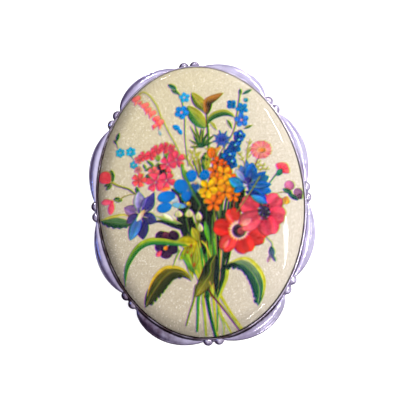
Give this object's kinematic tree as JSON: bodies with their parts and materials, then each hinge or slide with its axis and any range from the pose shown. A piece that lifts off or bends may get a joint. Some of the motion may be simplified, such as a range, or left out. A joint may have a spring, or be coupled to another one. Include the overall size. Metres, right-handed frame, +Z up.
{
  "type": "pill box",
  "caption": "Small oval metal pill box with a hinged lid, a scalloped frame with bead pairs, a domed floral picture, a mirror inside and a divided base.",
  "frame": {"origin": "middle of the flat underside that the box rests on, with the lid shut", "axes": "+Z up through the lid, Y along the length of the oval, the hinge on the -X side"},
  "size_m": [0.0438, 0.0574, 0.0173],
  "materials": {
    "silver_plate": "silver plate, softly polished and a little tarnished in the recesses",
    "bright_silver": "polished silver plate",
    "inner_plate": "satin plated sheet",
    "pearl_cream": "cream enamel with fine pearl sparkle",
    "print": "printed floral transfer in several colours",
    "clear": "clear glossy resin",
    "card": "pressed card",
    "glass_mirror": "silvered glass",
    "adhesive_felt": "thin adhesive felt"
  },
  "bodies": {
    "base": {"base_pan": "silver_plate", "base_collar": "inner_plate", "pill_divider": "inner_plate", "base_hinge": "silver_plate", "hinge_pin": "bright_silver"},
    "lid": {"lid_band": "silver_plate", "lid_frame": "silver_plate", "edge_beads": "bright_silver", "bezel_ring": "bright_silver", "plaque_backing": "card", "picture_dome": "pearl_cream", "floral_print": "print", "clear_coat": "clear", "lid_hinge": "silver_plate", "lid_plate": "inner_plate", "mirror_pad": "adhesive_felt", "mirror_glass": "glass_mirror", "mirror_ring": "bright_silver"}
  },
  "joints": [
    {"name": "lid_hinge_turn", "type": "hinge", "parent": "base", "child": "lid", "pos_m": [-0.02045, 0, 0.00905], "axis": [0, -1, 0], "range_deg": [0, 105]}
  ]
}
